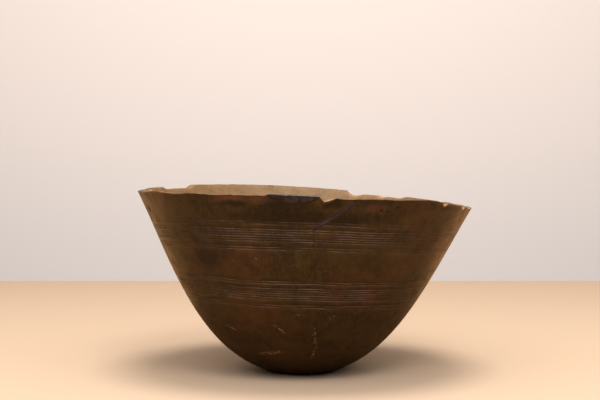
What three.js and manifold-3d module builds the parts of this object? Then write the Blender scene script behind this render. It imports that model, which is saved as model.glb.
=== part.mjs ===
// Carved wooden bowl, old and repaired at the rim.
// Millimetres, +Z up. The origin is the centre of the flat foot, on the surface the bowl stands on.
// The bowl is one carved block. A piece broken out of its rim is set back in with dark resin,
// and the chipped edge beside it is built up with the same resin.

import * as THREE from "three";
import { mergeVertices } from "three/addons/utils/BufferGeometryUtils.js";
import Module from "manifold-3d";

// ---- Sizes -----------------------------------------------------------------------------------

// The round form, measured along its own axis from the round bottom.
const RIM_RADIUS = 83.2; // outside, where the edge starts to round over
const FORM_HEIGHT = 88.7; // up to where the edge starts to round over
const BOTTOM_REACH = 45.9; // how far the round bottom runs out flat before it turns up
const FLARE_REACH = 21; // how far the straight upper side leans in as it goes down
const FLARE_DROP = 40; // how far down the straight upper side runs

// The wall, measured square to the outer face.
const WALL_AT_RIM = 3.2;
const WALL_AT_BOTTOM = 9;
const RIM_ROUND = 1.1; // height of the rounded edge

// Hand carving and use.
const LEAN = THREE.MathUtils.degToRad(2.9); // the form's axis leans toward +X
const FOOT_CUT = 1.85; // how much of the round bottom is cut off flat
const RIM_SADDLE = 1.85; // front and back of the rim stand this much high, left and right low
const SADDLE_TURN = THREE.MathUtils.degToRad(8); // the high places are turned a little from the front
const RISE_FADE = 3; // how fast the rim's rise and fall fade out down the wall, as a power of the height
const RIM_WEAR = [
  // stretches of the rim worn or broken low: degrees from the front toward +X
  { at: 152, half: 13, depth: 2.2 },
  { at: 237, half: 9, depth: 1.5 },
  { at: 318, half: 14, depth: 0.8 },
];
const NICKS = [
  { at: 50, width: 3.0, depth: 1.5 },
  { at: 65, width: 3.0, depth: 1.2 },
];

// The broken-out piece: points on the front, across from the axis and down from the rim.
const SHARD_FOOT = { across: 4.0, down: 16.2 };
const SHARD_SHOULDER = { across: 20.5, down: 4.6 };
const HAIRLINE_TOP = { across: 8.5, down: 2.9 };
const SEAM_WIDTH = 1.3; // resin along the sloping joint
const CLEARANCE = 0.3; // between pieces that touch

// The V-shaped loss in the rim, at the top of the hairline.
const NOTCH_DEPTH = 2.6;
const NOTCH_LEFT = 2.6;
const NOTCH_RIGHT = 4.6;

// The chipped stretch of rim that is built up with resin.
const FILL_LEFT = -17;
const FILL_RIGHT = 5.4;
const FILL_DEPTH = 4.4;
const FILL_END_DEPTH = 1.6;
const FILL_DEEPEST = 0.55; // where it is deepest, as a share of the way from left to right

// How finely the round form is cut.
const STEPS_AROUND = 96;
const STEPS_OUTSIDE = 18;
const STEPS_INSIDE = 14;
const STEPS_EDGE = 4;

const MERGE_DISTANCE = 1e-4;
const TALL = 20; // how far cutters stand above the rim
const ROOM = 4 * (RIM_RADIUS + FORM_HEIGHT); // side of a box that the bowl fits in with room to spare

const WOOD = { color: 0x3a2412, roughness: 0.5, metalness: 0 };
const SHARD_WOOD = { color: 0x4a2f14, roughness: 0.5, metalness: 0 };
const RESIN = { color: 0x15100e, roughness: 0.25, metalness: 0 };

// ---- Solids ----------------------------------------------------------------------------------

const wasm = await Module();
wasm.setup();

function solidFrom(geometry) {
  const bare = geometry.clone();
  bare.deleteAttribute("normal");
  bare.deleteAttribute("uv");
  const merged = mergeVertices(bare, MERGE_DISTANCE);
  const index = merged.index.array;
  const triangles = [];
  for (let i = 0; i < index.length; i += 3) {
    const [a, b, c] = index.slice(i, i + 3);
    if (a !== b && b !== c && c !== a) triangles.push(a, b, c);
  }
  return new wasm.Manifold(
    new wasm.Mesh({
      numProp: 3,
      vertProperties: merged.attributes.position.array,
      triVerts: new Uint32Array(triangles),
    }),
  );
}

function geometryFrom(solid) {
  const { vertProperties, triVerts } = solid.getMesh();
  const geometry = new THREE.BufferGeometry();
  geometry.setAttribute("position", new THREE.BufferAttribute(vertProperties, 3));
  geometry.setIndex(new THREE.BufferAttribute(triVerts, 1));
  return geometry;
}

// ---- The round form --------------------------------------------------------------------------

const outside = new THREE.CubicBezierCurve(
  new THREE.Vector2(0, 0),
  new THREE.Vector2(BOTTOM_REACH, 0),
  new THREE.Vector2(RIM_RADIUS - FLARE_REACH, FORM_HEIGHT - FLARE_DROP),
  new THREE.Vector2(RIM_RADIUS, FORM_HEIGHT),
);

// A point of the wall's inner face, square in from the outer face.
function insidePoint(t) {
  const outer = outside.getPoint(t);
  const along = outside.getTangent(t);
  const wall = THREE.MathUtils.lerp(WALL_AT_BOTTOM, WALL_AT_RIM, t);
  return new THREE.Vector2(outer.x - along.y * wall, outer.y + along.x * wall);
}

// Outer face from the axis up, over the rounded edge, and down the inner face to the axis.
function wallProfile() {
  const points = [];
  for (let i = 0; i <= STEPS_OUTSIDE; i++) points.push(outside.getPoint(i / STEPS_OUTSIDE));
  const outer = outside.getPoint(1);
  const inner = insidePoint(1);
  const middle = outer.clone().lerp(inner, 0.5);
  const half = outer.clone().sub(middle);
  const up = outside.getTangent(1).multiplyScalar(RIM_ROUND);
  for (let i = 1; i < STEPS_EDGE; i++) {
    const turn = (Math.PI * i) / STEPS_EDGE;
    const point = middle.clone();
    point.addScaledVector(half, Math.cos(turn));
    point.addScaledVector(up, Math.sin(turn));
    points.push(point);
  }
  for (let i = STEPS_INSIDE; i >= 0; i--) points.push(insidePoint(i / STEPS_INSIDE));
  points[points.length - 1].x = 0;
  return points;
}

// How far the rim stands above or below its mean height, at an angle from the front.
function rimRise(fromFront) {
  let rise = RIM_SADDLE * Math.cos(2 * (fromFront - SADDLE_TURN));
  for (const { at, half, depth } of RIM_WEAR) {
    const turn = THREE.MathUtils.euclideanModulo(fromFront - THREE.MathUtils.degToRad(at), 2 * Math.PI);
    const away = Math.min(turn, 2 * Math.PI - turn) / THREE.MathUtils.degToRad(half);
    if (away < 1) rise -= depth * Math.cos((away * Math.PI) / 2) ** 2;
  }
  return rise;
}

// The hollow form, standing on its round bottom with its axis upright.
function hollowForm() {
  const geometry = new THREE.LatheGeometry(wallProfile(), STEPS_AROUND);
  geometry.rotateX(Math.PI / 2);
  const flare = FLARE_REACH / FLARE_DROP;
  const places = geometry.attributes.position;
  for (let i = 0; i < places.count; i++) {
    const place = new THREE.Vector3().fromBufferAttribute(places, i);
    const radius = Math.hypot(place.x, place.y);
    if (radius < MERGE_DISTANCE) {
      places.setXYZ(i, 0, 0, place.z);
      continue;
    }
    const fromFront = Math.atan2(place.x, -place.y);
    const rise = rimRise(fromFront) * (place.z / FORM_HEIGHT) ** RISE_FADE;
    const grown = (radius + flare * rise) / radius;
    places.setXYZ(i, place.x * grown, place.y * grown, place.z + rise);
  }
  return solidFrom(geometry);
}

// ---- Cutters through the rim -----------------------------------------------------------------

const FRONT_RIM = FORM_HEIGHT + RIM_ROUND + rimRise(0);

const onFront = ({ across, down }) => new THREE.Vector2(across, FRONT_RIM - down);

// A straight-sided block through the wall. Its outline is seen from outside, at an angle from the front.
function throughWall(outline, fromFront = 0) {
  const block = new THREE.ExtrudeGeometry(new THREE.Shape(outline), {
    depth: RIM_RADIUS,
    bevelEnabled: false,
  });
  block.translate(0, 0, RIM_RADIUS / 2);
  block.rotateX(Math.PI / 2);
  block.rotateZ(fromFront);
  return solidFrom(block);
}

// Moves each side of a convex outline inward by its own distance.
function insetOutline(outline, distances) {
  const sides = outline.map((start, i) => {
    const along = outline[(i + 1) % outline.length].clone().sub(start).normalize();
    const inward = new THREE.Vector2(-along.y, along.x);
    return { point: start.clone().addScaledVector(inward, distances[i]), along };
  });
  return sides.map((side, i) => {
    const before = sides[(i + sides.length - 1) % sides.length];
    const gap = side.point.clone().sub(before.point);
    const reach = gap.cross(side.along) / before.along.cross(side.along);
    return before.point.clone().addScaledVector(before.along, reach);
  });
}

// A V whose point is down in the rim and whose sides carry on above it.
function vCut(point, left, right, depth) {
  const tall = (depth + TALL) / depth;
  return [
    point,
    new THREE.Vector2(point.x + right * tall, point.y + depth * tall),
    new THREE.Vector2(point.x - left * tall, point.y + depth * tall),
  ];
}

// ---- Outlines on the front -------------------------------------------------------------------

// The opening that the broken-out piece sits in: sloping joint, right side, top, hairline side.
function shardOpening() {
  const foot = onFront(SHARD_FOOT);
  const shoulder = onFront(SHARD_SHOULDER);
  const hairline = onFront(HAIRLINE_TOP).sub(foot);
  const above = (FRONT_RIM + TALL - foot.y) / hairline.y;
  return [
    foot,
    shoulder,
    new THREE.Vector2(shoulder.x, FRONT_RIM + TALL),
    foot.clone().addScaledVector(hairline, above),
  ];
}

// The chipped edge: shallow at both ends and deepest between them.
function fillOpening() {
  const top = FRONT_RIM + TALL;
  const middle = THREE.MathUtils.lerp(FILL_LEFT, FILL_RIGHT, FILL_DEEPEST);
  return [
    new THREE.Vector2(FILL_LEFT, FRONT_RIM - FILL_END_DEPTH),
    new THREE.Vector2(middle, FRONT_RIM - FILL_DEPTH),
    new THREE.Vector2(FILL_RIGHT, FRONT_RIM - FILL_END_DEPTH),
    new THREE.Vector2(FILL_RIGHT, top),
    new THREE.Vector2(FILL_LEFT, top),
  ];
}

// ---- Pieces, with the axis upright -----------------------------------------------------------

const form = hollowForm();
const opening = shardOpening();
const fillEdge = fillOpening();

const hairlineTop = onFront(HAIRLINE_TOP);
const notchPoint = new THREE.Vector2(hairlineTop.x, FRONT_RIM - NOTCH_DEPTH);
const notch = throughWall(vCut(notchPoint, NOTCH_LEFT, NOTCH_RIGHT, NOTCH_DEPTH));

function nick({ at, width, depth }) {
  const fromFront = THREE.MathUtils.degToRad(at);
  const rimTop = FORM_HEIGHT + RIM_ROUND + rimRise(fromFront);
  const point = new THREE.Vector2(0, rimTop - depth);
  return throughWall(vCut(point, width / 2, width / 2, depth), fromFront);
}

function bowlBody() {
  let body = form.subtract(throughWall(opening));
  body = body.subtract(throughWall(fillEdge));
  body = body.subtract(notch);
  for (const size of NICKS) body = body.subtract(nick(size));
  return body;
}

function rimShard() {
  const joint = SEAM_WIDTH + 2 * CLEARANCE;
  const outline = insetOutline(opening, [joint, CLEARANCE, 0, CLEARANCE]);
  return form.intersect(throughWall(outline)).subtract(notch);
}

// The resin in the sloping joint, between the bowl and the broken-out piece.
function seamResin() {
  const outline = insetOutline(opening, [CLEARANCE, CLEARANCE, 0, CLEARANCE]);
  const beyond = insetOutline(opening, [SEAM_WIDTH + CLEARANCE, -TALL, 0, -TALL]);
  return form.intersect(throughWall(outline)).subtract(throughWall(beyond));
}

function rimResin() {
  const outline = insetOutline(fillEdge, [CLEARANCE, CLEARANCE, CLEARANCE, 0, CLEARANCE]);
  return form.intersect(throughWall(outline)).subtract(notch);
}

// ---- Leaning the form over its flat foot -------------------------------------------------------

const lean = new THREE.Matrix4().makeRotationY(LEAN);
lean.premultiply(new THREE.Matrix4().makeTranslation(0, 0, -FOOT_CUT));

function leaning(solid) {
  const geometry = geometryFrom(solid);
  geometry.applyMatrix4(lean);
  return solidFrom(geometry);
}

function aboveGround(solid) {
  const room = new THREE.BoxGeometry(ROOM, ROOM, ROOM);
  room.translate(0, 0, ROOM / 2);
  return solid.intersect(solidFrom(room));
}

// The middle of the flat that the ground cuts from the leaning round bottom.
function footCentre(solid) {
  const { vertProperties } = solid.getMesh();
  const box = new THREE.Box3();
  for (let i = 0; i < vertProperties.length; i += 3) {
    const place = new THREE.Vector3().fromArray(vertProperties, i);
    if (place.z < MERGE_DISTANCE) box.expandByPoint(place);
  }
  return box.getCenter(new THREE.Vector3());
}

const body = aboveGround(leaning(bowlBody()));
const centre = footCentre(body);

const bowl = new THREE.Group();
bowl.name = "carved_bowl";

function addPiece(name, solid, finish) {
  const geometry = geometryFrom(solid);
  geometry.translate(-centre.x, -centre.y, 0);
  geometry.computeVertexNormals();
  const mesh = new THREE.Mesh(geometry, new THREE.MeshStandardMaterial(finish));
  mesh.name = name;
  bowl.add(mesh);
}

addPiece("bowl_body", body, WOOD);
addPiece("rim_shard", leaning(rimShard()), SHARD_WOOD);
addPiece("shard_joint_resin", leaning(seamResin()), RESIN);
addPiece("rim_chip_resin", leaning(rimResin()), RESIN);

export default bowl;
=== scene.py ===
# %% [markdown]
# # An old carved wooden bowl
# This lesson builds a deep bowl that was carved from one block of wood, used for years until it was dark
# and polished, and mended at the rim. A potter or a turner would draw half of the section and turn it round
# an axis, and Blender's Spin does the same, so the bowl starts as a drawn section. What the hand did
# afterwards is carved into the turned mesh: cut lines, a worn foot, a rim that is no longer level, chips
# and a crack. The CAD model is loaded first, as the frame that everything has to fit.

import math

import bpy
import numpy as np
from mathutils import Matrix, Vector, noise
from mathutils.kdtree import KDTree


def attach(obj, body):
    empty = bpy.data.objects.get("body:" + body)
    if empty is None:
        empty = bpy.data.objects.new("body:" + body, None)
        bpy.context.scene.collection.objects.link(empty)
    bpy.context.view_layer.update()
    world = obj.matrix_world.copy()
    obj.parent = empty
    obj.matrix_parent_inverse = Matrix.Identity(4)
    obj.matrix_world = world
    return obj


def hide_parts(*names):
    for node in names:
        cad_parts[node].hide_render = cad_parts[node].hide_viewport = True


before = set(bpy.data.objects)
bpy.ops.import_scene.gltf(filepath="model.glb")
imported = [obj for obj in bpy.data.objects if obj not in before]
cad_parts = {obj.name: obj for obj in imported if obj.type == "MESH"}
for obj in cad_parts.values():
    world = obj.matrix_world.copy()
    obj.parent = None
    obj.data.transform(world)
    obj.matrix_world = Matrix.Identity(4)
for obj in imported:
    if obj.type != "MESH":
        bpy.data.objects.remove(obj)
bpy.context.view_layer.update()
MM = 0.001

# %% [markdown]
# ## The camera, the table and the light
# The bowl is seen from a little above its rim, from close by with a longish lens, standing on a table in
# front of a plain wall. One broad soft light hangs overhead, a little to the front. The flared side faces
# down and out, so it is lit only by what the table and the room send back, which keeps it dark and warm and
# lets the polish show at its edges. To the camera the table and room are pale, and to the bowl they are
# dimmer and warmer: the Light Path node tells the two apart, and it is used only on the stage.

# %% Camera
CAMERA_AWAY = 623 * MM
CAMERA_HEIGHT = 102.4 * MM
CAMERA_LENS = 75
CAMERA_DOWN = math.radians(1.6)
CAMERA_LEFT = -0.5 * MM

camera_data = bpy.data.cameras.new("camera")
camera_data.lens = CAMERA_LENS
camera_data.sensor_width = 36
camera_data.clip_start = 0.01
camera = bpy.data.objects.new("camera", camera_data)
bpy.context.scene.collection.objects.link(camera)
camera.location = (CAMERA_LEFT, -CAMERA_AWAY, CAMERA_HEIGHT)
camera.rotation_euler = (math.pi / 2 - CAMERA_DOWN, 0, 0)
bpy.context.scene.camera = camera
bpy.context.scene.view_settings.view_transform = "Standard"
print("camera", round(CAMERA_AWAY / MM), "mm away")


# %% Helpers for picking one object and for reading and moving its points
def pick(thing):
    """Deselects everything else and makes this object the active one."""
    bpy.ops.object.select_all(action="DESELECT")
    thing.select_set(True)
    bpy.context.view_layer.objects.active = thing


def points_of(thing):
    places = np.empty(len(thing.data.vertices) * 3)
    thing.data.vertices.foreach_get("co", places)
    return places.reshape(-1, 3)


def put_points(thing, places):
    thing.data.vertices.foreach_set("co", places.ravel())
    thing.data.update()


# %% Table and wall
TABLE_BEHIND = 480 * MM
TABLE_SPLIT = 110 * MM
TABLE_FRONT = -1.2
TABLE_WIDE = 3.0
WALL_AT = 1.1


def stage_finish(name, seen, sent_back):
    """A matt finish with one colour for the camera and another for the light that it sends to the bowl."""
    finish = bpy.data.materials.new(name)
    finish.use_nodes = True
    nodes, links = finish.node_tree.nodes, finish.node_tree.links
    mix = nodes.new("ShaderNodeMix")
    mix.data_type = "RGBA"
    mix.inputs[6].default_value = (*sent_back, 1)
    mix.inputs[7].default_value = (*seen, 1)
    links.new(nodes.new("ShaderNodeLightPath").outputs["Is Camera Ray"], mix.inputs[0])
    shader = nodes["Principled BSDF"]
    links.new(mix.outputs[2], shader.inputs["Base Color"])
    shader.inputs["Roughness"].default_value = 0.95
    shader.inputs["Specular IOR Level"].default_value = 0.1
    return finish


def stage_sheet(name, low, high, finish):
    """A flat sheet between two corners. It lies when both are at one height, and stands otherwise."""
    bpy.ops.mesh.primitive_plane_add(size=1, location=(0, 0, 0))
    sheet = bpy.context.object
    sheet.name = name
    places = points_of(sheet)
    share = places + 0.5
    share[:, 2] = share[:, 1]
    put_points(sheet, np.array(low) + share * (np.array(high) - np.array(low)))
    sheet.data.materials.append(finish)
    return sheet


# The table is one colour to the eye. Its near half sends little back, and its far half lights the edges.
CLOTH = (0.43, 0.325, 0.235)
PALE_WALL = (0.82, 0.76, 0.73)
near_cloth = stage_finish("near_cloth", seen=CLOTH, sent_back=(0.27, 0.146, 0.060))
far_cloth = stage_finish("far_cloth", seen=CLOTH, sent_back=(0.95, 0.50, 0.20))
pale_wall = stage_finish("pale_wall", seen=PALE_WALL, sent_back=(0.80, 0.62, 0.48))
stage_sheet("table_near", (-TABLE_WIDE, TABLE_FRONT, 0), (TABLE_WIDE, TABLE_SPLIT, 0), near_cloth)
stage_sheet("table_far", (-TABLE_WIDE, TABLE_SPLIT, 0), (TABLE_WIDE, TABLE_BEHIND, 0), far_cloth)
stage_sheet("back_wall", (-TABLE_WIDE, WALL_AT, -1.5), (TABLE_WIDE, WALL_AT, 2.5), pale_wall)
print("table and wall are on the stage")


# %% Lights
def soft_light(name, place, target, size, power, colour):
    data = bpy.data.lights.new(name, "AREA")
    data.shape = "DISK"
    data.size = size
    data.energy = power
    data.color = colour
    light = bpy.data.objects.new(name, data)
    bpy.context.scene.collection.objects.link(light)
    light.location = place
    light.rotation_euler = (Vector(target) - Vector(place)).to_track_quat("-Z", "Y").to_euler()
    return light


BOWL_MIDDLE = (0, 0, 0.05)
soft_light("overhead", (0.04, -0.12, 1.05), BOWL_MIDDLE, size=0.42, power=9.5, colour=(1, 0.94, 0.86))
soft_light("front_high", (0.16, -0.80, 0.95), BOWL_MIDDLE, size=0.40, power=5.5, colour=(1, 0.93, 0.84))
soft_light("wall_wash", (0, -0.05, 0.85), (0, WALL_AT, 0.2), size=1.6, power=17, colour=(1, 0.96, 0.95))

# The room is dim for the bowl, so that its front stays dark, and pale where the camera sees past the table.
ROOM_FOR_BOWL = 0.10
ROOM_FOR_CAMERA = 0.85
world = bpy.data.worlds.new("room")
world.use_nodes = True
room = world.node_tree
seen_directly = room.nodes.new("ShaderNodeLightPath").outputs["Is Camera Ray"]
brightness = room.nodes.new("ShaderNodeMapRange")
brightness.inputs["To Min"].default_value = ROOM_FOR_BOWL
brightness.inputs["To Max"].default_value = ROOM_FOR_CAMERA
room.links.new(seen_directly, brightness.inputs["Value"])
room.links.new(brightness.outputs["Result"], room.nodes["Background"].inputs["Strength"])
room.nodes["Background"].inputs["Color"].default_value = (1, 0.90, 0.82, 1)
bpy.context.scene.world = world
print("lights set")

# %% [markdown]
# ## The section of the bowl
# The outside runs almost flat out of the round bottom, turns up, and climbs as a nearly straight flare. One
# cubic curve with two handles draws that, as a carver's eye would. The inside is the same curve moved in by
# the wall, which is thick at the bottom, where the block was left heavy, and thin at the lip. The lip
# itself is level across, with rounded corners, because a rim is scraped flat after the wall is done. These
# sizes are the CAD model's own, in metres.

# %% Sizes of the form, upright on its round bottom
RIM_RADIUS = 83.2 * MM
FORM_HEIGHT = 88.7 * MM
BOTTOM_REACH = 45.9 * MM
FLARE_REACH = 21 * MM
FLARE_DROP = 40 * MM
WALL_AT_RIM = 3.2 * MM
WALL_AT_BOTTOM = 9 * MM
RIM_ROUND = 1.1 * MM
LEAN = math.radians(2.9)
FOOT_CUT = 1.85 * MM
RIM_SADDLE = 1.85 * MM
SADDLE_TURN = 8

# A little of the curve beyond the rim is kept, for the places where the rim stands high.
share = np.linspace(0, 1.08, 1200)[:, None]
handles = np.array([
    [0, 0],
    [BOTTOM_REACH, 0],
    [RIM_RADIUS - FLARE_REACH, FORM_HEIGHT - FLARE_DROP],
    [RIM_RADIUS, FORM_HEIGHT],
])
outer_curve = ((1 - share) ** 3 * handles[0] + 3 * share * (1 - share) ** 2 * handles[1]
               + 3 * share ** 2 * (1 - share) * handles[2] + share ** 3 * handles[3])
outer_run = np.gradient(outer_curve, axis=0)
outer_run /= np.linalg.norm(outer_run, axis=1)[:, None]
wall = WALL_AT_BOTTOM + (WALL_AT_RIM - WALL_AT_BOTTOM) * share
inner_curve = outer_curve + wall * np.column_stack((-outer_run[:, 1], outer_run[:, 0]))
outer_length = np.concatenate(([0], np.cumsum(np.linalg.norm(np.diff(outer_curve, axis=0), axis=1))))


def outside_at(height):
    """Radius of the outer face at a height."""
    return np.interp(height, outer_curve[:, 1], outer_curve[:, 0])


def inside_at(height):
    """Radius of the inner face at a height."""
    return np.interp(height, inner_curve[:, 1], inner_curve[:, 0])


print("outside radius half way up:", round(outside_at(FORM_HEIGHT / 2) / MM, 1), "mm")

# %% [markdown]
# ## Where the cut lines run
# Two bands go round the bowl. Each is a pair of fine lines, a group of six, and another pair, cut with a
# point. A line that fine needs three rings of points: its two lips and its bottom. So the section gets
# three points at every line and far fewer between the bands, and the fine geometry is only where something
# is cut.

# %% Heights of the cut lines
LINE_WIDE = 0.52 * MM
LINE_DEEP = 0.2 * MM
PAIR_STEP = 1.1 * MM
GROUP_STEP = 1.06 * MM
GROUP_LINES = 6
PAIR_TO_GROUP = 2.2 * MM
BAND_SLANT = math.radians(0.9)


def band_lines(top):
    """Heights of one band's lines, from the top one down."""
    heights = [top, top - PAIR_STEP]
    first = heights[-1] - PAIR_TO_GROUP
    heights += [first - GROUP_STEP * i for i in range(GROUP_LINES)]
    last = heights[-1] - PAIR_TO_GROUP - 0.4 * MM
    return heights + [last, last - PAIR_STEP]


UPPER_BAND_TOP = 77.9 * MM
LOWER_BAND_TOP = 51.4 * MM
line_heights = sorted(band_lines(UPPER_BAND_TOP) + band_lines(LOWER_BAND_TOP))
print(len(line_heights), "lines between", round(line_heights[0] / MM, 1), "and",
      round(line_heights[-1] / MM, 1), "mm")

# %% Points of the section, outside from the axis up, over the lip, and inside back down
PLAIN_STEP = 1.7 * MM
LIP_STEP = 0.75 * MM
LIP_ZONE = 10 * MM
# The inside is plainer than the outside, so its points are further apart.
INSIDE_LIP_WIDER = 1.6
INSIDE_WIDER = 1.4
# The top of the lip is level across, with rounded corners. A smaller corner power makes it squarer.
EDGE_STEPS = 12
LIP_LEVEL = 0.75 * MM
LIP_CORNER = 0.35


def spaced(first, last, step):
    """Distances along the outer curve from first to last, about a step apart, without the last."""
    count = max(1, round((last - first) / step))
    return [first + (last - first) * i / count for i in range(count)]


def length_at(height):
    return float(np.interp(height, outer_curve[:, 1], outer_length))


def outside_heights():
    """Heights of the rings of points on the outer face."""
    stops = []
    reached = 0.0
    for height in line_heights:
        low_lip, high_lip = height - LINE_WIDE / 2, height + LINE_WIDE / 2
        if length_at(low_lip) - reached > PLAIN_STEP * 0.8:
            stops += spaced(reached, length_at(low_lip), PLAIN_STEP)[bool(stops):]
        stops += [length_at(low_lip), length_at(height), length_at(high_lip)]
        reached = stops[-1]
    lip_start = length_at(FORM_HEIGHT - LIP_ZONE)
    stops += spaced(reached, lip_start, PLAIN_STEP)[1:]
    stops += spaced(lip_start, length_at(FORM_HEIGHT), LIP_STEP)
    return stops + [length_at(FORM_HEIGHT)]


def section():
    """The whole outline, as radius and height: up the outside, over the lip and down the inside."""
    stops = outside_heights()
    outside = [(float(np.interp(s, outer_length, outer_curve[:, 0])),
                float(np.interp(s, outer_length, outer_curve[:, 1]))) for s in stops]
    top = FORM_HEIGHT + LIP_LEVEL
    outer, inner = outside_at(top), inside_at(top)
    edge = []
    for i in range(1, EDGE_STEPS):
        turn = math.pi * i / EDGE_STEPS
        side = math.copysign(abs(math.cos(turn)) ** LIP_CORNER, math.cos(turn))
        level = FORM_HEIGHT + LIP_LEVEL * math.sin(turn) ** LIP_CORNER
        edge.append(((outer + inner) / 2 + (outer - inner) / 2 * side, level))
    lip_start = length_at(FORM_HEIGHT - LIP_ZONE)
    inner_end = float(np.interp(FORM_HEIGHT, inner_curve[:, 1], outer_length))
    down = [inner_end] + spaced(inner_end, lip_start, -LIP_STEP * INSIDE_LIP_WIDER)[1:]
    down += spaced(lip_start, 0, -PLAIN_STEP * INSIDE_WIDER)
    inside = [(float(np.interp(s, outer_length, inner_curve[:, 0])),
               float(np.interp(s, outer_length, inner_curve[:, 1]))) for s in down]
    return outside + edge + inside + [(0.0, float(inner_curve[0, 1]))]


profile = section()
print(len(profile), "points in the section")

# %% [markdown]
# ## Turning the section
# The section is drawn as a hand would: one point, extruded to the next, all along the outline. Spin then
# carries it round the upright axis. It goes round in stretches with their own number of steps, because the
# front, where the rim is broken and mended, needs closer points than the plain back. Spin slows down as a
# mesh grows, so each stretch is its own object until they are joined. Points that meet at the seams and on
# the axis are merged before the normals are turned outward.

# %% Draw and spin
FRONT_HALF = 36
MERGE_WITHIN = 0.002 * MM
# Each stretch: how many degrees it covers, and in how many steps.
SPIN_STRETCHES = [(24, 77), (24, 77), (24, 77), (60, 82), (84, 56), (84, 56), (60, 82)]


def drawn_line(name, outline):
    """An open line of points, extruded one after the other from a plane merged to a point."""
    bpy.ops.object.select_all(action="DESELECT")
    bpy.ops.mesh.primitive_plane_add(size=MM, location=(0, 0, 0))
    line = bpy.context.object
    line.name = name
    bpy.ops.object.mode_set(mode="EDIT")
    bpy.ops.mesh.select_all(action="SELECT")
    bpy.ops.mesh.merge(type="CENTER")
    bpy.ops.transform.translate(value=outline[0])
    for here, there in zip(outline, outline[1:]):
        step = Vector(there) - Vector(here)
        bpy.ops.mesh.extrude_region_move(TRANSFORM_OT_translate={"value": step})
    return line


def check_closed(piece):
    """Stops unless every edge has two faces. On an open piece a Boolean would quietly do nothing."""
    sides = {}
    for face in piece.data.polygons:
        for edge in face.edge_keys:
            sides[edge] = sides.get(edge, 0) + 1
    loose = sum(1 for count in sides.values() if count != 2)
    if loose:
        raise RuntimeError(f"{piece.name} has {loose} open or crowded edges")
    print(piece.name, "is closed:", len(piece.data.polygons), "faces")


def turned_stretch(start, degrees, steps):
    """The section, drawn at one angle and carried round as far as the next stretch.

    Spin turns clockwise seen from above, so its angle is negative here."""
    start = math.radians(start)
    stretch = drawn_line("stretch", [(r * math.cos(start), r * math.sin(start), h) for r, h in profile])
    bpy.ops.mesh.select_all(action="SELECT")
    bpy.ops.mesh.spin(steps=steps, angle=-math.radians(degrees), center=(0, 0, 0), axis=(0, 0, 1))
    bpy.ops.object.mode_set(mode="OBJECT")
    return stretch


stretches = []
reached = -90 - FRONT_HALF
for degrees, steps in SPIN_STRETCHES:
    stretches.append(turned_stretch(reached, degrees, steps))
    reached += degrees
bpy.ops.object.select_all(action="DESELECT")
for stretch in stretches:
    stretch.select_set(True)
form = stretches[0]
bpy.context.view_layer.objects.active = form
bpy.ops.object.join()
form.name = "form"
bpy.ops.object.mode_set(mode="EDIT")
bpy.ops.mesh.select_all(action="SELECT")
bpy.ops.mesh.remove_doubles(threshold=MERGE_WITHIN)
bpy.ops.mesh.normals_make_consistent(inside=False)
bpy.ops.object.mode_set(mode="OBJECT")
print("turned form:", len(form.data.vertices), "points,", len(form.data.polygons), "faces")
check_closed(form)

# %% [markdown]
# ## What the hand and the years did
# Every point of the turned form has an angle round the bowl, a height, and a side of the wall. The carving
# is written in those three, so a chip is a place on the rim with a width and a depth, and a cut line is a
# ring whose bottom is pushed in. Points slide along the wall where the rim drops, so that the flare stays
# true.

# %% Angle, height and side of every point
places = points_of(form)
radius = np.hypot(places[:, 0], places[:, 1])
height = places[:, 2].copy()
angle = np.degrees(np.arctan2(places[:, 0], -places[:, 1]))
wall_here = np.maximum(outside_at(height) - inside_at(height), 0.1 * MM)
hollow = np.clip((outside_at(height) - radius) / wall_here, 0, 1)
hollow[height < inner_curve[0, 1] - 0.05 * MM] = 0
flare = np.interp(height, outer_curve[:, 1], outer_run[:, 0] / np.maximum(outer_run[:, 1], 0.2))
print("hollow side:", int((hollow > 0.5).sum()), "points")


def wavy(at, size, seed):
    """Smooth noise between about -1 and 1, with bumps of the given size."""
    shift = Vector((seed * 3.1, seed * 7.7, seed * 5.3))
    return np.array([noise.noise(Vector(p) / size + shift) for p in at])


def turned(from_angle, at):
    """How far an angle is from another, the short way round, in degrees."""
    return (from_angle - at + 180) % 360 - 180


def eased(value):
    value = np.clip(value, 0, 1)
    return value * value * (3 - 2 * value)


# %% The height of the rim
# Each loss: shape, where round the rim, how far left and right it runs (degrees), how deep (mm, and a hump
# if less than nothing), and over how many degrees a flat one runs out.
RIM_LOSSES = [
    ("vee", 5.6, 1.7, 3.5, 2.2, 0),
    ("bowl", 12, 9, 13, 0.65, 0),
    ("bowl", 41, 13, 11, -0.85, 0),
    ("bowl", 44, 28, 20, -0.5, 0),
    ("bowl", -56, 12, 12, -0.6, 0),
    ("flat", 180, 98, 98, -0.75, 44),
    ("bowl", -27, 10, 9, 0.85, 0),
    ("flat", -17, 6.5, 6.2, 0.55, 2.0),
    ("flat", -47, 9, 6.8, 0.3, 2.5),
    ("vee", 50.2, 1.9, 1.6, 1.4, 0),
    ("vee", 64.6, 2.6, 2.0, 1.5, 0),
    ("bowl", 73, 9, 14, 0.9, 0),
    ("flat", 151, 14, 12.6, 1.35, 2.0),
    ("vee", 159.8, 3.4, 3.2, 1.4, 0),
    ("vee", 147.5, 1.6, 2.2, 0.5, 0),
    ("flat", 238, 9.6, 9.4, 1.6, 2.2),
    ("vee", -98, 2.0, 1.6, 0.7, 0),
    ("vee", 118, 1.5, 2.4, 0.6, 0),
]
FRESHNESS = {"vee": 1.0, "flat": 0.25, "bowl": 0.0}
RIM_WANDER = 0.16 * MM
BREAK_ROUGH = 0.22 * MM


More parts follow.
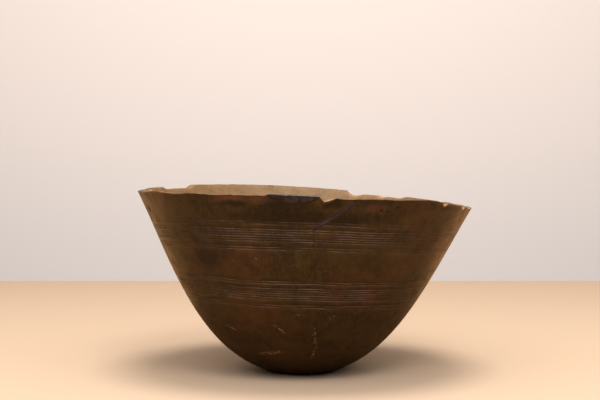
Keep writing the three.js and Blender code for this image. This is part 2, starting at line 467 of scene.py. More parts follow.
def rim_losses(at):
    """How far the rim has come down at an angle, and where it is freshly broken."""
    down = np.zeros_like(at)
    broken = np.zeros_like(at)
    for shape, where, left, right, depth, run in RIM_LOSSES:
        off = turned(at, where)
        reach = np.where(off < 0, left, right)
        inside = np.clip(1 - np.abs(off) / reach, 0, 1)
        if shape == "vee":
            part = inside
        elif shape == "bowl":
            part = np.sin(inside * math.pi / 2) ** 2
        else:
            part = eased(inside * reach / run)
        down += part * depth
        fresh = FRESHNESS[shape] if depth > 0 else 0
        broken = np.maximum(broken, fresh * np.clip(part * 2, 0, 1))
    return down * MM, broken


loss, broken = rim_losses(angle)
round_rim = np.column_stack((np.sin(np.radians(angle)), np.cos(np.radians(angle)), np.zeros(len(angle))))
loss += RIM_WANDER * wavy(round_rim, 0.045, 1) + broken * BREAK_ROUGH * wavy(round_rim, 0.012, 2)
saddle = RIM_SADDLE * np.cos(2 * np.radians(angle - SADDLE_TURN))
near_lip = eased((height - (FORM_HEIGHT - LIP_ZONE)) / LIP_ZONE)
rise = saddle * np.clip(height / FORM_HEIGHT, 0, 1) ** 3 - loss * near_lip
print("rim loss up to", round(float(loss.max()) / MM, 2), "mm")

# %% The cut lines
BAND_ZONE = 6 * MM
BAND_MARGIN = 2 * MM
LINE_WANDER = 0.45 * MM
LINE_JITTER = 0.07 * MM
in_band = np.zeros_like(height)
incised = np.zeros_like(height)
for line in line_heights:
    in_band = np.maximum(in_band, eased(1 - (np.abs(height - line) - BAND_MARGIN) / BAND_ZONE))
across = radius * np.sin(np.radians(angle))
outer_side = hollow < 0.25
wander = wavy(np.column_stack((round_rim[:, 0], round_rim[:, 1], height / 0.035)), 0.35, 3)
jitter = wavy(np.column_stack((round_rim[:, 0], round_rim[:, 1], height / 0.004)), 0.12, 4)
rise += in_band * (across * math.tan(BAND_SLANT) + LINE_WANDER * wander + LINE_JITTER * jitter)
firm = wavy(np.column_stack((round_rim[:, 0], round_rim[:, 1], height / 0.0011)), 0.30, 5)
touch = wavy(np.column_stack((round_rim[:, 0], round_rim[:, 1], height / 0.0011)), 0.06, 6)
for line in line_heights:
    bottom = outer_side & (np.abs(height - line) < 0.02 * MM)
    incised[bottom] = np.clip(0.72 + 0.75 * firm[bottom] + 0.3 * touch[bottom], 0.08, 1)
print("points at the bottom of a line:", int((incised > 0).sum()))

# %% Move the points: rim, lines, bevels, tool marks
# Each bevel on the outer edge of the lip: where, half width (degrees), how far down and how deep (mm).
LIP_BEVELS = [
    (-24, 8, 3.8, 0.8), (-13, 6, 4.6, 0.6), (53, 14, 1.8, 0.45),
    (150, 16, 2.5, 0.5), (-60, 10, 2.2, 0.3), (238, 12, 2.0, 0.4),
]
# The rough patch: where, half width (degrees), how far below the rim, and half its height.
ROUGH_PATCH = (22, 6.8, 4.2 * MM, 2.8 * MM)
# Each pit: where, height, half its length, half its height, depth.
PITS = [
    (29.6, 86.2, 1.0, 0.5, 0.35), (24.3, 84.3, 1.0, 0.5, 0.4), (26.7, 84.1, 0.9, 0.45, 0.4),
    (-69.5, 82.0, 0.8, 1.2, 0.5), (200, 60, 1.4, 1.0, 0.4), (122, 71, 0.9, 1.2, 0.4),
    (-110, 33, 1.2, 1.0, 0.4),
]
# Each crack: how far across at its top and foot, and the heights of the two.
CRACKS = [(4.1, 4.7, 75.6, 64.5), (-57.5, -58.2, 90, 85.3)]

height_now = height + rise
radius_now = radius + flare * rise
depth_in = incised * LINE_DEEP
below_rim = FORM_HEIGHT + RIM_ROUND - height
bevelled = np.zeros_like(height)
for where, half, down, deep in LIP_BEVELS:
    reach = np.cos(np.clip(np.abs(turned(angle, where)) / half, 0, 1) * math.pi / 2) ** 1.2
    worn_off = reach * np.clip(1.6 * (1 - below_rim / (down * MM)), 0, 1) * (1 - hollow)
    depth_in += worn_off * deep * MM
    bevelled = np.maximum(bevelled, worn_off)

pitted = np.zeros_like(height)
for where, up, half_long, half_tall, deep in PITS:
    along = np.radians(turned(angle, where)) * radius / (half_long * MM)
    pit = outer_side * eased(1.4 - np.hypot(along, (height - up * MM) / (half_tall * MM)))
    depth_in += pit * deep * MM
    pitted = np.maximum(pitted, pit)

CRACK_HALF = 0.42 * MM
CRACK_DEEP = 0.2 * MM
CRACK_WANDER = 0.25 * MM
front_half = np.abs(angle) < 80
cracked = np.zeros_like(height)
for top_across, foot_across, top, foot in CRACKS:
    down_share = (top * MM - height) / ((top - foot) * MM)
    crack_at = (top_across + (foot_across - top_across) * down_share) * MM + CRACK_WANDER * jitter
    crack = eased(1 - np.abs(across - crack_at) / CRACK_HALF)
    crack *= eased(down_share * 20 + 1) * eased((1 - down_share) * 4)
    crack *= outer_side * front_half
    depth_in += crack * CRACK_DEEP
    cracked = np.maximum(cracked, crack)

rough_at, rough_half, rough_down, rough_tall = ROUGH_PATCH
from_patch = np.hypot(turned(angle, rough_at) / rough_half, (below_rim - rough_down) / rough_tall)
rough = eased(1.6 - 1.6 * from_patch) * (1 - hollow)
grit = wavy(places, 1.5 * MM, 7) + 0.6 * wavy(places, 0.7 * MM, 8)
depth_in += rough * (0.18 + 0.22 * grit) * MM

# The wall is a little uneven everywhere, and the inside keeps the long shallow cuts of a gouge.
GOUGE_DEEP = 0.42 * MM
uneven = 0.16 * MM * wavy(places, 32 * MM, 9) + 0.05 * MM * wavy(places, 9 * MM, 10)
gouge = GOUGE_DEEP * np.abs(wavy(places * np.array([1, 1, 0.4]), 10 * MM, 11))
depth_in += np.where(outer_side, uneven, -uneven - gouge * (hollow > 0.9))
outward_r = np.interp(height, outer_curve[:, 1], outer_run[:, 1])
outward_h = -np.interp(height, outer_curve[:, 1], outer_run[:, 0])
radius_now = np.maximum(radius_now - depth_in * outward_r, 0)
height_now = height_now - depth_in * outward_h
radius_now[radius < 0.01 * MM] = 0

grown = np.where(radius > 0.01 * MM, radius_now / np.maximum(radius, 1e-9), 0)
moved = np.column_stack((places[:, 0] * grown, places[:, 1] * grown, height_now))
put_points(form, moved)
print("deepest push in:", round(float(depth_in.max()) / MM, 2), "mm")

# %% [markdown]
# ## The mended rim
# A leaf-shaped piece broke out beside the V in the rim and was set back with dark resin along its sloping
# joint, and the chipped edge left of the V was built up with the same resin. Each is a piece of its own.
# They are cut from the same form, so they lie flush with it: a flat outline is drawn in front of the bowl,
# pushed through the wall by Extrude, and used by a Boolean modifier, once to keep what is inside it and
# once to take it away.

# %% Outlines on the front, across from the axis and up
front_rim = FORM_HEIGHT + RIM_ROUND + RIM_SADDLE * math.cos(2 * math.radians(SADDLE_TURN))
SHARD_FOOT = (4.0 * MM, front_rim - 16.2 * MM)
SHARD_SHOULDER = (20.5 * MM, front_rim - 4.6 * MM)
HAIRLINE_TOP = (8.5 * MM, front_rim - 2.9 * MM)
SEAM_WIDE = 1.3 * MM
TIGHT = 0.06 * MM
ABOVE = 20 * MM
FILL_LEFT, FILL_RIGHT = -17 * MM, 5.4 * MM
# The lower edge of the lip resin, left to right: share of the way across, and mm below the rim.
FILL_EDGE = [(0, 1.6), (0.11, 2.7), (0.24, 2.9), (0.38, 4.1), (0.55, 4.4), (0.72, 4.0), (0.87, 3.0), (1, 1.6)]


def shard_opening():
    """The outline of the break: its foot, its right shoulder, and up past the rim on both sides."""
    foot, hairline = np.array(SHARD_FOOT), np.array(HAIRLINE_TOP)
    above = (front_rim + ABOVE - foot[1]) / (hairline[1] - foot[1])
    top_left = foot + (hairline - foot) * above
    return np.array([foot, SHARD_SHOULDER, (SHARD_SHOULDER[0], front_rim + ABOVE), top_left])


def fill_opening():
    """The outline of the chipped stretch, with its uneven lower edge."""
    wide = FILL_RIGHT - FILL_LEFT
    edge = [(FILL_LEFT + wide * part, front_rim - deep * MM) for part, deep in FILL_EDGE]
    return np.array(edge + [(FILL_RIGHT, front_rim + ABOVE), (FILL_LEFT, front_rim + ABOVE)])


def inset(outline, distances):
    """Moves each side of a convex outline inward by its own distance."""
    along = np.roll(outline, -1, axis=0) - outline
    along /= np.linalg.norm(along, axis=1)[:, None]
    shifted = outline + np.column_stack((-along[:, 1], along[:, 0])) * np.array(distances)[:, None]
    corners = []
    for i in range(len(outline)):
        before, gap = along[i - 1], shifted[i] - shifted[i - 1]
        turn = before[0] * along[i][1] - before[1] * along[i][0]
        reach = (gap[0] * along[i][1] - gap[1] * along[i][0]) / turn
        corners.append(shifted[i - 1] + before * reach)
    return np.array(corners)


# %% Cutters, and pieces cut with them
CUTTER_FROM = -30 * MM
CUTTER_TO = -120 * MM


def cutter_through_wall(name, outline):
    """A block pushed through the front wall, with this outline seen from the front."""
    bpy.ops.object.select_all(action="DESELECT")
    bpy.ops.mesh.primitive_circle_add(vertices=len(outline), radius=10 * MM, fill_type="NGON")
    cutter = bpy.context.object
    cutter.name = name
    put_points(cutter, np.array([(x, CUTTER_FROM, z) for x, z in outline]))
    bpy.ops.object.mode_set(mode="EDIT")
    bpy.ops.mesh.select_all(action="SELECT")
    bpy.ops.mesh.extrude_region_move(TRANSFORM_OT_translate={"value": (0, CUTTER_TO - CUTTER_FROM, 0)})
    bpy.ops.mesh.select_all(action="SELECT")
    bpy.ops.mesh.normals_make_consistent(inside=False)
    bpy.ops.object.mode_set(mode="OBJECT")
    return cutter


def cut_with(piece, outline, keep):
    """Keeps ("INTERSECT") or takes away ("DIFFERENCE") what lies inside the outline."""
    cutter = cutter_through_wall("cutter", outline)
    pick(piece)
    boolean = piece.modifiers.new("cut", "BOOLEAN")
    boolean.operation = keep
    boolean.solver = "MANIFOLD"
    boolean.object = cutter
    bpy.ops.object.modifier_apply(modifier=boolean.name)
    bpy.data.objects.remove(cutter)
    return piece


def copy_of(original, name):
    piece = original.copy()
    piece.data = original.data.copy()
    piece.name = piece.data.name = name
    bpy.context.scene.collection.objects.link(piece)
    return piece


opening = shard_opening()
fill_edge = fill_opening()
body = cut_with(copy_of(form, "carved_bowl"), opening, "DIFFERENCE")
body = cut_with(body, fill_edge, "DIFFERENCE")
joint = SEAM_WIDE + 2 * TIGHT
shard = cut_with(copy_of(form, "set_in_piece"), inset(opening, [joint, TIGHT, 0, TIGHT]), "INTERSECT")
seam = cut_with(copy_of(form, "joint_resin"), inset(opening, [TIGHT, TIGHT, 0, TIGHT]), "INTERSECT")
seam = cut_with(seam, inset(opening, [SEAM_WIDE + TIGHT, -ABOVE, 0, -ABOVE]), "DIFFERENCE")
fill_gaps = [TIGHT] * len(FILL_EDGE) + [0, TIGHT]
fill = cut_with(copy_of(form, "rim_resin"), inset(fill_edge, fill_gaps), "INTERSECT")
for piece in (body, shard, seam, fill):
    check_closed(piece)
    print("  its size in mm:", [round(side / MM, 1) for side in piece.dimensions])

# %% [markdown]
# ## Marks that the finishes follow
# The finishes have to know where the wood was cut, worn, broken or stained, and where shade is painted on it.
# Each of those is already a number at every point of the form, so it is kept as an attribute. The Boolean
# makes new points along its cuts, and those take the value of the nearest point of the form. Then every piece
# is leaned over by the same amount, lowered, and the round bottom is worn flat where it stands.

# %% Carry the marks over, lean, and flatten the foot
# Each dark spot: where round the bowl, height, half its length and half its height. The first three are
# painted
# shade: under the edge right of the V, under the lip resin, and along the foot of the bevel left of it. The
# rest are stains.
STAINS_AND_PAINTED_SHADE = [
    (8.4, 87.6, 3.8, 2.6), (-8, 84.2, 11, 3.4), (-22, 86.0, 6.5, 1.4), (12, 78, 4, 2),
    (-40, 60, 8, 5), (55, 87.5, 15, 1.1), (0, 80, 30, 3), (95, 70, 12, 7),
    (160, 50, 16, 9), (-130, 74, 14, 6), (-160, 40, 12, 8),
]
SMEAR_HALF = 1.5 * MM
BREAK_TALL = 1.6 * MM
CRACK_DARK = 0.4
# The olive smudge: across, height, half its size.
SMUDGE_AT = (-0.8, 61.5, 3.6)

stain_and_shade_mask = np.zeros_like(height)
for where, up, half_long, half_tall in STAINS_AND_PAINTED_SHADE:
    along = np.radians(turned(angle, where)) * radius / (half_long * MM)
    from_middle = np.hypot(along, (height - up * MM) / (half_tall * MM))
    spot = eased(1.5 - from_middle + 0.45 * wavy(places, 3 * MM, 15))
    stain_and_shade_mask = np.maximum(stain_and_shade_mask, spot * outer_side)

seam_start, seam_end = np.array(SHARD_FOOT), np.array(SHARD_SHOULDER)
seam_run = (seam_end - seam_start) / np.linalg.norm(seam_end - seam_start)
from_start = np.column_stack((across, height)) - seam_start
beside = np.abs(from_start[:, 0] * seam_run[1] - from_start[:, 1] * seam_run[0])
along_seam = from_start @ seam_run
past_seam = np.linalg.norm(seam_end - seam_start) + MM - along_seam
on_seam = eased((along_seam + 1.5 * MM) / MM) * eased(past_seam / MM)
smeared = eased(1.3 - beside / SMEAR_HALF + 0.5 * wavy(places, 2.5 * MM, 16))
smeared *= on_seam * outer_side * front_half

smudge_across, smudge_up, smudge_half = SMUDGE_AT
from_smudge = np.hypot(across / MM - smudge_across, height / MM - smudge_up) / smudge_half
smudged = eased(1.5 - from_smudge + 0.8 * wavy(places, 3 * MM, 17)) * outer_side * front_half

marks = {
    "stain_and_painted_shade": stain_and_shade_mask,
    "smear": smeared,
    "smudge": smudged,
    "cut_line": incised,
    "hollow": hollow,
    "below_rim": np.maximum(below_rim, 0) / MM,
    "rough_patch": rough,
    "broken": broken * eased(1 - below_rim / BREAK_TALL),
    "bevel": bevelled,
    "pit": np.maximum(pitted, CRACK_DARK * cracked),
}
form_points = points_of(form)
form_index = KDTree(len(form_points))
for i, place in enumerate(form_points):
    form_index.insert(place, i)
form_index.balance()


def carry_marks(piece):
    """Gives each point of a cut piece the marks of the nearest point of the whole form."""
    nearest = np.array([form_index.find(place)[1] for place in points_of(piece)])
    for name, values in marks.items():
        mark = piece.data.attributes.new(name, "FLOAT", "POINT")
        mark.data.foreach_set("value", values[nearest].astype(np.float32))


def leaned(places):
    """Tips the upright form to one side and lowers it by what is cut off the foot."""
    x, y, h = places.T
    return np.column_stack((
        x * math.cos(LEAN) + h * math.sin(LEAN), y, h * math.cos(LEAN) - x * math.sin(LEAN) - FOOT_CUT))


FOOT_EDGE = 0.35 * MM


def worn_flat(places):
    """Flattens what is below the ground, with a soft edge where the flat meets the round."""
    z = places[:, 2]
    soft = (z + FOOT_EDGE) ** 2 / (4 * FOOT_EDGE)
    flat = np.where(z < -FOOT_EDGE, 0, np.where(z < FOOT_EDGE, soft, z))
    return np.column_stack((places[:, 0], places[:, 1], flat))


upright = {piece: points_of(piece) for piece in (body, shard, seam, fill)}
under = leaned(upright[body])
under = under[under[:, 2] < 0]
foot_middle = (under.min(axis=0) + under.max(axis=0)) / 2
foot_middle[2] = 0
for piece, places in upright.items():
    carry_marks(piece)
    put_points(piece, worn_flat(leaned(places)) - foot_middle)
print("foot middle was", [round(float(v) / MM, 2) for v in foot_middle], "mm off the form's axis")
bpy.data.objects.remove(form)

# %% [markdown]
# ## Resin, set proud and chipped
# The resin is a dark gum, put on soft and worked with a hot knife, so it stands a little proud of the wood
# and breaks like glass, in shallow scoops. A voxel remesh gives each resin piece points all over, and the
# points of its free faces are then moved: out for the swell, and in for the scoops. The faces in the joint
# stay where they are.

# %% Shape the resin
def worked_resin(piece, voxel, proud, scoop, scoop_size, seed):
    """Gives the piece even points, swells its free faces, and breaks shallow scoops out of them."""
    pick(piece)
    remesh = piece.modifiers.new("even_points", "REMESH")
    remesh.mode = "VOXEL"
    remesh.voxel_size = voxel
    bpy.ops.object.modifier_apply(modifier=remesh.name)
    bpy.ops.object.mode_set(mode="EDIT")
    bpy.ops.mesh.select_all(action="SELECT")
    bpy.ops.mesh.vertices_smooth(factor=0.5, repeat=2)
    bpy.ops.object.mode_set(mode="OBJECT")
    places = points_of(piece)
    normals = np.array([v.normal[:] for v in piece.data.vertices])
    outward = places * np.array([1, 1, 0])
    outward /= np.linalg.norm(outward, axis=1)[:, None]
    faces_out = np.clip(np.abs((normals * outward).sum(axis=1)), 0, 1) ** 2
    faces_up = np.clip(normals[:, 2], 0, 1) ** 2
    free = np.clip(faces_out + faces_up, 0, 1)
    shift = Vector((seed, seed * 2, seed * 3))
    scoops = np.array([noise.voronoi(Vector(p) / scoop_size + shift)[0][0] for p in places])
    push = proud - scoop * (1 - scoops) + 0.3 * scoop * wavy(places, scoop_size * 0.6, seed)
    put_points(piece, places + normals * (free * push)[:, None])
    print(piece.name, len(piece.data.polygons), "faces after shaping")


worked_resin(fill, voxel=0.2 * MM, proud=0.28 * MM, scoop=0.5 * MM, scoop_size=3.2 * MM, seed=21)
worked_resin(seam, voxel=0.16 * MM, proud=0.10 * MM, scoop=0.16 * MM, scoop_size=1.6 * MM, seed=22)

SMOOTH_BELOW = math.radians(38)
for piece in (body, shard, seam, fill):
    pick(piece)
    bpy.ops.object.shade_smooth_by_angle(angle=SMOOTH_BELOW)

# %% [markdown]
# ## Finishes
# The outside has been oiled, smoked and handled until it is almost black-brown, with a dull polish. The
# inside was scraped by use and stays lighter. Edges are rubbed down to the bare wood, cut lines hold pale
# dust, and breaks show a redder wood. Each effect is a small shader group that gives a mask, so the body
# and the set-in piece use the same groups with their own values.

# %% Helpers for shader nodes
def node(tree, kind, values=None, **settings):
    """Adds a node. A value that is a socket is linked, and any other value is set."""
    made = tree.nodes.new(kind)
    for name, setting in settings.items():
        setattr(made, name, setting)
    for name, value in (values or {}).items():
        if isinstance(value, bpy.types.NodeSocket):
            tree.links.new(value, made.inputs[name])
        else:
            made.inputs[name].default_value = value
    return made


def maths(tree, operation, first, second=0.0, clamp=False):
    made = node(tree, "ShaderNodeMath", {0: first, 1: second}, operation=operation, use_clamp=clamp)
    return made.outputs[0]


def times(tree, first, second):
    return maths(tree, "MULTIPLY", first, second)


def opposite(tree, mask):
    return maths(tree, "SUBTRACT", 1.0, mask)


def ramp(tree, value, low, high):
    """0 up to low and 1 from high on, with a soft step between; low may be the larger number."""
    values = {"Value": value, "From Min": low, "From Max": high}
    return node(tree, "ShaderNodeMapRange", values, interpolation_type="SMOOTHSTEP").outputs["Result"]


def mixed(tree, share, first, second):
    def as_value(value):
        return value if isinstance(value, bpy.types.NodeSocket) else (*value, 1)
    values = {0: share, 6: as_value(first), 7: as_value(second)}
    return node(tree, "ShaderNodeMix", values, data_type="RGBA").outputs[2]


def tinted(tree, colour, mask, strength, other):
    """The colour, with some of another one where the mask is."""
    return mixed(tree, times(tree, mask, strength), colour, other)


def deepened(colour, factor):
    return [channel * factor for channel in colour]


def mark_of(tree, name):
    return node(tree, "ShaderNodeAttribute", attribute_name=name).outputs["Fac"]


def effect(name, inputs):
    """A new shader group with number inputs and one mask as output, and its two ends."""
    group = bpy.data.node_groups.new(name, "ShaderNodeTree")
    for label, value in inputs.items():
        socket = group.interface.new_socket(label, in_out="INPUT", socket_type="NodeSocketFloat")
        socket.default_value = value
    group.interface.new_socket("Mask", in_out="OUTPUT", socket_type="NodeSocketFloat")
    return group, node(group, "NodeGroupInput").outputs, node(group, "NodeGroupOutput").inputs


def use(tree, group, **values):
    placed = node(tree, "ShaderNodeGroup", node_tree=group)
    for label, value in values.items():
        if isinstance(value, bpy.types.NodeSocket):
            tree.links.new(value, placed.inputs[label])
        else:
            placed.inputs[label].default_value = value
    return placed.outputs[0]


def stretched(tree, x, y, z):
    """Object coordinates in millimetres, stretched along an axis where its number is small."""
    place = node(tree, "ShaderNodeTexCoord").outputs["Object"]
    scaled = node(tree, "ShaderNodeMapping", {"Vector": place, "Scale": (x / MM, y / MM, z / MM)})
    return scaled.outputs["Vector"]


# %% The shared effects
def grain_effect():
    """Fibres running up the block, with a slow drift from light to dark."""
    group, given, out = effect("grain_streaks", {"Scale": 1.0, "Drift": 1.5})
    fibres = node(group, "ShaderNodeTexNoise", {
        "Vector": stretched(group, 1, 1, 0.07), "Scale": given["Scale"], "Detail": 5, "Roughness": 0.62,
        "Distortion": given["Drift"]})
    group.links.new(ramp(group, fibres.outputs["Fac"], 0.3, 0.7), out["Mask"])
    return group


def blotch_effect():
    """Cloudy patches where the surface is more or less worn, with a soft or a hard edge."""
    group, given, out = effect("blotches", {"Size": 20.0, "Low": 0.4, "High": 0.65, "Seed": 0.0})
    scale = maths(group, "DIVIDE", 1.0, given["Size"])
    cloud = node(group, "ShaderNodeTexNoise", {"Scale": scale, "Detail": 6, "Roughness": 0.6},
                 noise_dimensions="4D")
    group.links.new(stretched(group, 1, 1, 1), cloud.inputs["Vector"])
    group.links.new(given["Seed"], cloud.inputs["W"])
    group.links.new(ramp(group, cloud.outputs["Fac"], given["Low"], given["High"]), out["Mask"])
    return group


def edge_effect(blotches):
    """Bare wood along the lip, wider where the hand rubbed it."""
    group, given, out = effect("rubbed_edge", {"Width": 0.6, "Unevenness": 1.0})
    uneven = maths(group, "SUBTRACT", use(group, blotches, Size=9.0, Low=0.3, High=0.7, Seed=3.0), 0.5)
    reach = maths(group, "ADD", given["Width"], times(group, uneven, given["Unevenness"]))
    gap = maths(group, "DIVIDE", mark_of(group, "below_rim"), maths(group, "MAXIMUM", reach, 0.15))
    group.links.new(opposite(group, ramp(group, gap, 0.55, 1.3)), out["Mask"])
    return group


def dust_effect(blotches):
    """Pale dust held by the cut lines, missing here and there."""
    group, given, out = effect("dust_in_lines", {"Amount": 1.0})
    kept = use(group, blotches, Size=8.0, Low=0.28, High=0.66, Seed=8.0)
    line = ramp(group, mark_of(group, "cut_line"), 0.12, 0.75)
    group.links.new(times(group, times(group, line, kept), given["Amount"]), out["Mask"])
    return group


def scratch_effect():
    """Fine rubbing scratches: thin bright lines in a stretched cell pattern."""
    group, given, out = effect("fine_scratches", {"Spacing": 6.0, "Thin": 0.02})
    place = stretched(group, 0.35, 0.35, 1.2)
    bent = node(group, "ShaderNodeTexNoise", {"Vector": place, "Scale": 0.12, "Detail": 2}).outputs["Color"]
    shifted = node(group, "ShaderNodeVectorMath", {0: bent, 3: 9.0}, operation="SCALE").outputs[0]
    moved = node(group, "ShaderNodeVectorMath", {0: place, 1: shifted}, operation="ADD").outputs[0]
    cells = node(group, "ShaderNodeTexVoronoi", {
        "Vector": moved, "Scale": maths(group, "DIVIDE", 1.0, given["Spacing"])}, feature="DISTANCE_TO_EDGE")
    near = maths(group, "DIVIDE", cells.outputs["Distance"], given["Thin"])
    group.links.new(opposite(group, ramp(group, near, 0.4, 1.0)), out["Mask"])
    return group


def scuff_effect():
    """One short broken line of bare specks, at a place on the front and at a slant."""
    group, given, out = effect("scuff", {
        "Across": 0.0, "Up": 0.0, "Slant": 0.0, "Half Length": 3.0, "Width": 0.4, "Wander": 1.5})
    place = stretched(group, 1, 1, 1)
    waver = node(group, "ShaderNodeTexNoise", {"Vector": place, "Scale": 0.35, "Detail": 1}).outputs["Fac"]
    parts = node(group, "ShaderNodeSeparateXYZ", {"Vector": place}).outputs
    x = maths(group, "SUBTRACT", parts["X"], given["Across"])
    x = maths(group, "ADD", x, times(group, maths(group, "SUBTRACT", waver, 0.5), given["Wander"]))
    z = maths(group, "SUBTRACT", parts["Z"], given["Up"])
    cos, sin = maths(group, "COSINE", given["Slant"]), maths(group, "SINE", given["Slant"])
    along = maths(group, "ADD", times(group, x, cos), times(group, z, sin))
    aside = maths(group, "SUBTRACT", times(group, z, cos), times(group, x, sin))
    far = maths(group, "DIVIDE", maths(group, "ABSOLUTE", along), given["Half Length"])
    off = maths(group, "DIVIDE", maths(group, "ABSOLUTE", aside), given["Width"])
    specks = node(group, "ShaderNodeTexNoise", {"Vector": place, "Scale": 1.1, "Detail": 2}).outputs["Fac"]
    mask = opposite(group, ramp(group, far, 0.7, 1.0))
    mask = times(group, mask, opposite(group, ramp(group, off, 0.4, 1.0)))
    mask = times(group, mask, ramp(group, specks, 0.47, 0.58))
    mask = times(group, mask, maths(group, "LESS_THAN", parts["Y"], 0.0))
    group.links.new(mask, out["Mask"])
    return group


grain = grain_effect()
blotches = blotch_effect()
rubbed_edge = edge_effect(blotches)
dust = dust_effect(blotches)
scratches = scratch_effect()
scuff = scuff_effect()
print("shared effects:", [group.name for group in bpy.data.node_groups])


# %% [markdown]
# ## The wood
# One function makes the wood of the bowl and of the set-in piece. Colours are mixed from the deepest layer
# up: grain, blotches of oil, the lighter inside, breaks and rough places, rubbed edges, then dust. The same
# masks set the roughness, so what looks rubbed also shines differently, and the bump is only the pores and
# scratches.

# %% Wood finish
# Each scuff on the front: across and up (mm), slant (degrees), half length, width and wander (mm).
SCUFFS = [
    (6.2, 22, 100, 7, 0.55, 5), (5.4, 13.5, 70, 3.5, 0.6, 3), (-14, 14, 8, 6.5, 1.0, 4),
    (-10, 27, -38, 4, 0.5, 3), (-20, 60.5, -55, 1.5, 0.25, 2), (-33, 26, -20, 3.5, 0.3, 3),
    (14, 32, 40, 2.5, 0.3, 3), (-2, 34, 10, 3.5, 0.3, 4),
]
DUST = (0.215, 0.165, 0.165)
BARE = (0.42, 0.26, 0.13)
SMEAR = (0.040, 0.027, 0.031)
SMUDGE = (0.105, 0.082, 0.022)
INSIDE = (0.174, 0.097, 0.037)
EDGE = (0.23, 0.128, 0.058)
# Low, so that the polish doesn't hide the mottling.
WOOD_SHINE = 0.26


def scuff_mask(tree):
    """All the scuffs in one mask."""
    scuffed = 0.0
    for across_to, up, slant, half, wide, wander in SCUFFS:
        one = use(tree, scuff, Across=across_to, Up=up, Slant=math.radians(slant), Width=wide, Wander=wander,
                  **{"Half Length": half})
        scuffed = maths(tree, "MAXIMUM", scuffed, one)
    return scuffed


def dust_mask(tree, amount, place):
    """Dust in the lines: fullest on the middle of the front, and fair on the back."""
    aside = maths(tree, "ABSOLUTE", place["X"])
    kept_in_front = maths(tree, "ADD", 0.25, times(tree, ramp(tree, aside, 54.0, 26.0), 0.75))
    kept_behind = times(tree, ramp(tree, place["Y"], 0.0, 30.0), 0.7)
    return times(tree, use(tree, dust, Amount=amount), maths(tree, "MAXIMUM", kept_in_front, kept_behind))


def wood_finish(name, dark, light, red, inside, edge, dust_amount, polish):
    finish = bpy.data.materials.new(name)
    finish.use_nodes = True
    tree = finish.node_tree
    shader = tree.nodes["Principled BSDF"]

    streaks = use(tree, grain, Scale=0.55, Drift=1.2)
    pores = use(tree, grain, Scale=2.6, Drift=0.3)
    oil = use(tree, blotches, Size=34.0, Low=0.36, High=0.66, Seed=1.0)
    warm = use(tree, blotches, Size=24.0, Low=0.46, High=0.72, Seed=5.0)
    grime = use(tree, blotches, Size=5.5, Low=0.42, High=0.8, Seed=7.0)
    pool = use(tree, blotches, Size=16.0, Low=0.25, High=0.75, Seed=9.0)
    specks = use(tree, blotches, Size=1.1, Low=0.70, High=0.78, Seed=17.0)
    scratched = use(tree, scratches, Spacing=9.0, Thin=0.008)
    edge_mask = use(tree, rubbed_edge, Width=0.35, Unevenness=0.55)
    hollow_mark = ramp(tree, mark_of(tree, "hollow"), 0.7, 0.98)
    scuffed = times(tree, scuff_mask(tree), opposite(tree, hollow_mark))
    place = node(tree, "ShaderNodeSeparateXYZ", {"Vector": stretched(tree, 1, 1, 1)}).outputs
    dusty = dust_mask(tree, dust_amount, place)
    darker_towards_foot = ramp(tree, place["Z"], 17.0, 1.0)

    # The inside: scraped and lighter, with what the food left in the bottom.
    residue = opposite(tree, ramp(tree, maths(tree, "ADD", place["Z"], times(tree, pool, 26.0)), 24.0, 58.0))
    inner = tinted(tree, inside, streaks, 0.55, deepened(inside, 0.55))
    inner = tinted(tree, inner, warm, 0.55, [inside[0] * 1.25, inside[1] * 0.95, inside[2] * 0.7])
    inner = tinted(tree, inner, grime, 0.55, deepened(inside, 0.35))
    inner = tinted(tree, inner, residue, 0.62, deepened(inside, 0.22))

    # The outside, from the wood itself out to what lies on it.
    colour = tinted(tree, dark, streaks, 0.55, light)
    colour = tinted(tree, colour, oil, 0.45, light)
    colour = tinted(tree, colour, warm, 0.40, red)
    colour = tinted(tree, colour, grime, 0.60, deepened(dark, 0.6))
    colour = mixed(tree, hollow_mark, colour, inner)
    patch = times(tree, mark_of(tree, "rough_patch"), opposite(tree, times(tree, grime, 0.7)))
    colour = tinted(tree, colour, patch, 0.42, red)
    colour = tinted(tree, colour, mark_of(tree, "bevel"), 0.7, red)
    # Stains, and painted shade under the edge right of the V, under the lip resin and below the bevel left of
    # it.
    colour = tinted(tree, colour, mark_of(tree, "stain_and_painted_shade"), 0.72, deepened(dark, 0.35))
    colour = tinted(tree, colour, mark_of(tree, "smear"), 0.8, SMEAR)
    colour = tinted(tree, colour, mark_of(tree, "smudge"), 0.2, SMUDGE)
    # The outside is darker towards the foot.
    colour = tinted(tree, colour, darker_towards_foot, 0.6, deepened(dark, 0.5))
    colour = tinted(tree, colour, mark_of(tree, "broken"), 0.8, deepened(edge, 1.6))
    colour = tinted(tree, colour, edge_mask, 0.75, edge)
    colour = tinted(tree, colour, pores, 0.22, deepened(dark, 0.3))
    colour = mixed(tree, dusty, colour, DUST)
    colour = tinted(tree, colour, scratched, 0.05, BARE)
    colour = tinted(tree, colour, specks, 0.35, BARE)
    colour = tinted(tree, colour, scuffed, 0.55, BARE)
    colour = mixed(tree, mark_of(tree, "pit"), colour, deepened(dark, 0.12))
    tree.links.new(colour, shader.inputs["Base Color"])

    rough = maths(tree, "ADD", polish, times(tree, grime, 0.16))
    rough = maths(tree, "ADD", rough, times(tree, streaks, 0.07))
    rough = maths(tree, "ADD", rough, times(tree, maths(tree, "ADD", patch, dusty), 0.3))
    rough = maths(tree, "ADD", rough, times(tree, hollow_mark, 0.12), clamp=True)
    tree.links.new(rough, shader.inputs["Roughness"])

    low = maths(tree, "ADD", times(tree, pores, -0.5), times(tree, streaks, -0.25))
    low = maths(tree, "ADD", low, times(tree, scratched, -0.35))
    bump = node(tree, "ShaderNodeBump", {"Height": low, "Strength": 0.35, "Distance": 0.12 * MM})
    tree.links.new(bump.outputs["Normal"], shader.inputs["Normal"])
    shader.inputs["Specular IOR Level"].default_value = WOOD_SHINE
    return finish


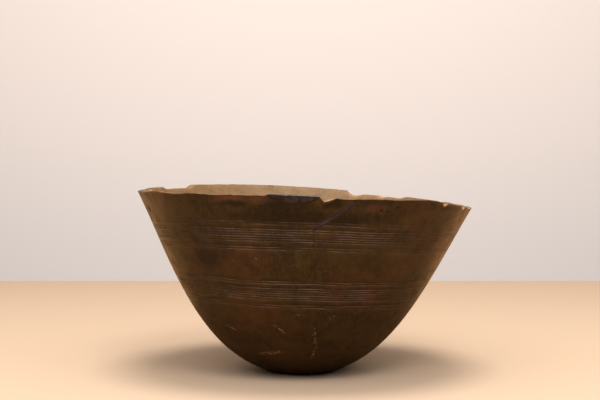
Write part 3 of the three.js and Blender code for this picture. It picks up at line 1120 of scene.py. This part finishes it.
bowl_wood = wood_finish(
    "bowl_wood", dark=(0.017, 0.0092, 0.0038), light=(0.082, 0.048, 0.0125), red=(0.135, 0.048, 0.020),
    inside=INSIDE, edge=EDGE, dust_amount=0.9, polish=0.42)
piece_wood = wood_finish(
    "piece_wood", dark=(0.021, 0.0112, 0.0043), light=(0.088, 0.050, 0.0130), red=(0.135, 0.050, 0.022),
    inside=INSIDE, edge=EDGE, dust_amount=0.8, polish=0.40)
print("wood finishes made")


# %% Resin finishes
def resin_finish(name, dark, grey, polish, shine, size, spread):
    """Dark resin clouded with grey, in clouds of a size in mm; a small spread gives them sharp edges."""
    finish = bpy.data.materials.new(name)
    finish.use_nodes = True
    tree = finish.node_tree
    shader = tree.nodes["Principled BSDF"]
    clouded = use(tree, blotches, Size=size, Low=0.5 - spread, High=0.5 + spread, Seed=12.0)
    specks = use(tree, blotches, Size=0.9, Low=0.5, High=0.75, Seed=14.0)
    colour = mixed(tree, clouded, dark, grey)
    colour = tinted(tree, colour, specks, 0.3, deepened(dark, 0.5))
    tree.links.new(colour, shader.inputs["Base Color"])
    rough = maths(tree, "ADD", polish, times(tree, maths(tree, "ADD", clouded, specks), 0.14))
    tree.links.new(rough, shader.inputs["Roughness"])
    bump = node(tree, "ShaderNodeBump", {"Height": specks, "Strength": 0.25, "Distance": 0.08 * MM})
    tree.links.new(bump.outputs["Normal"], shader.inputs["Normal"])
    shader.inputs["Specular IOR Level"].default_value = shine
    return finish


lip_resin = resin_finish(
    "lip_resin", dark=(0.006, 0.0040, 0.0033), grey=(0.027, 0.023, 0.023),
    polish=0.30, shine=0.4, size=2.6, spread=0.10)
joint_gum = resin_finish(
    "joint_gum", dark=(0.024, 0.014, 0.011), grey=(0.056, 0.039, 0.043),
    polish=0.45, shine=0.3, size=4.0, spread=0.12)
for piece, finish in ((body, bowl_wood), (shard, piece_wood), (seam, joint_gum), (fill, lip_resin)):
    piece.data.materials.clear()
    piece.data.materials.append(finish)
    print(piece.name, "wears", finish.name)

# %% [markdown]
# ## The pieces on their body
# Each visible piece stands for one CAD node, whose own mesh is hidden, and rides on the one body. The looks
# never change the size.

# %% Ride and replace
STANDS_FOR = [
    (body, "bowl_body", "dark_wood"),
    (shard, "rim_shard", "shard_wood"),
    (seam, "shard_joint_resin", "joint_resin"),
    (fill, "rim_chip_resin", "chip_resin"),
]
for piece, part, slot in STANDS_FOR:
    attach(piece, "root")
    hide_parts(part)
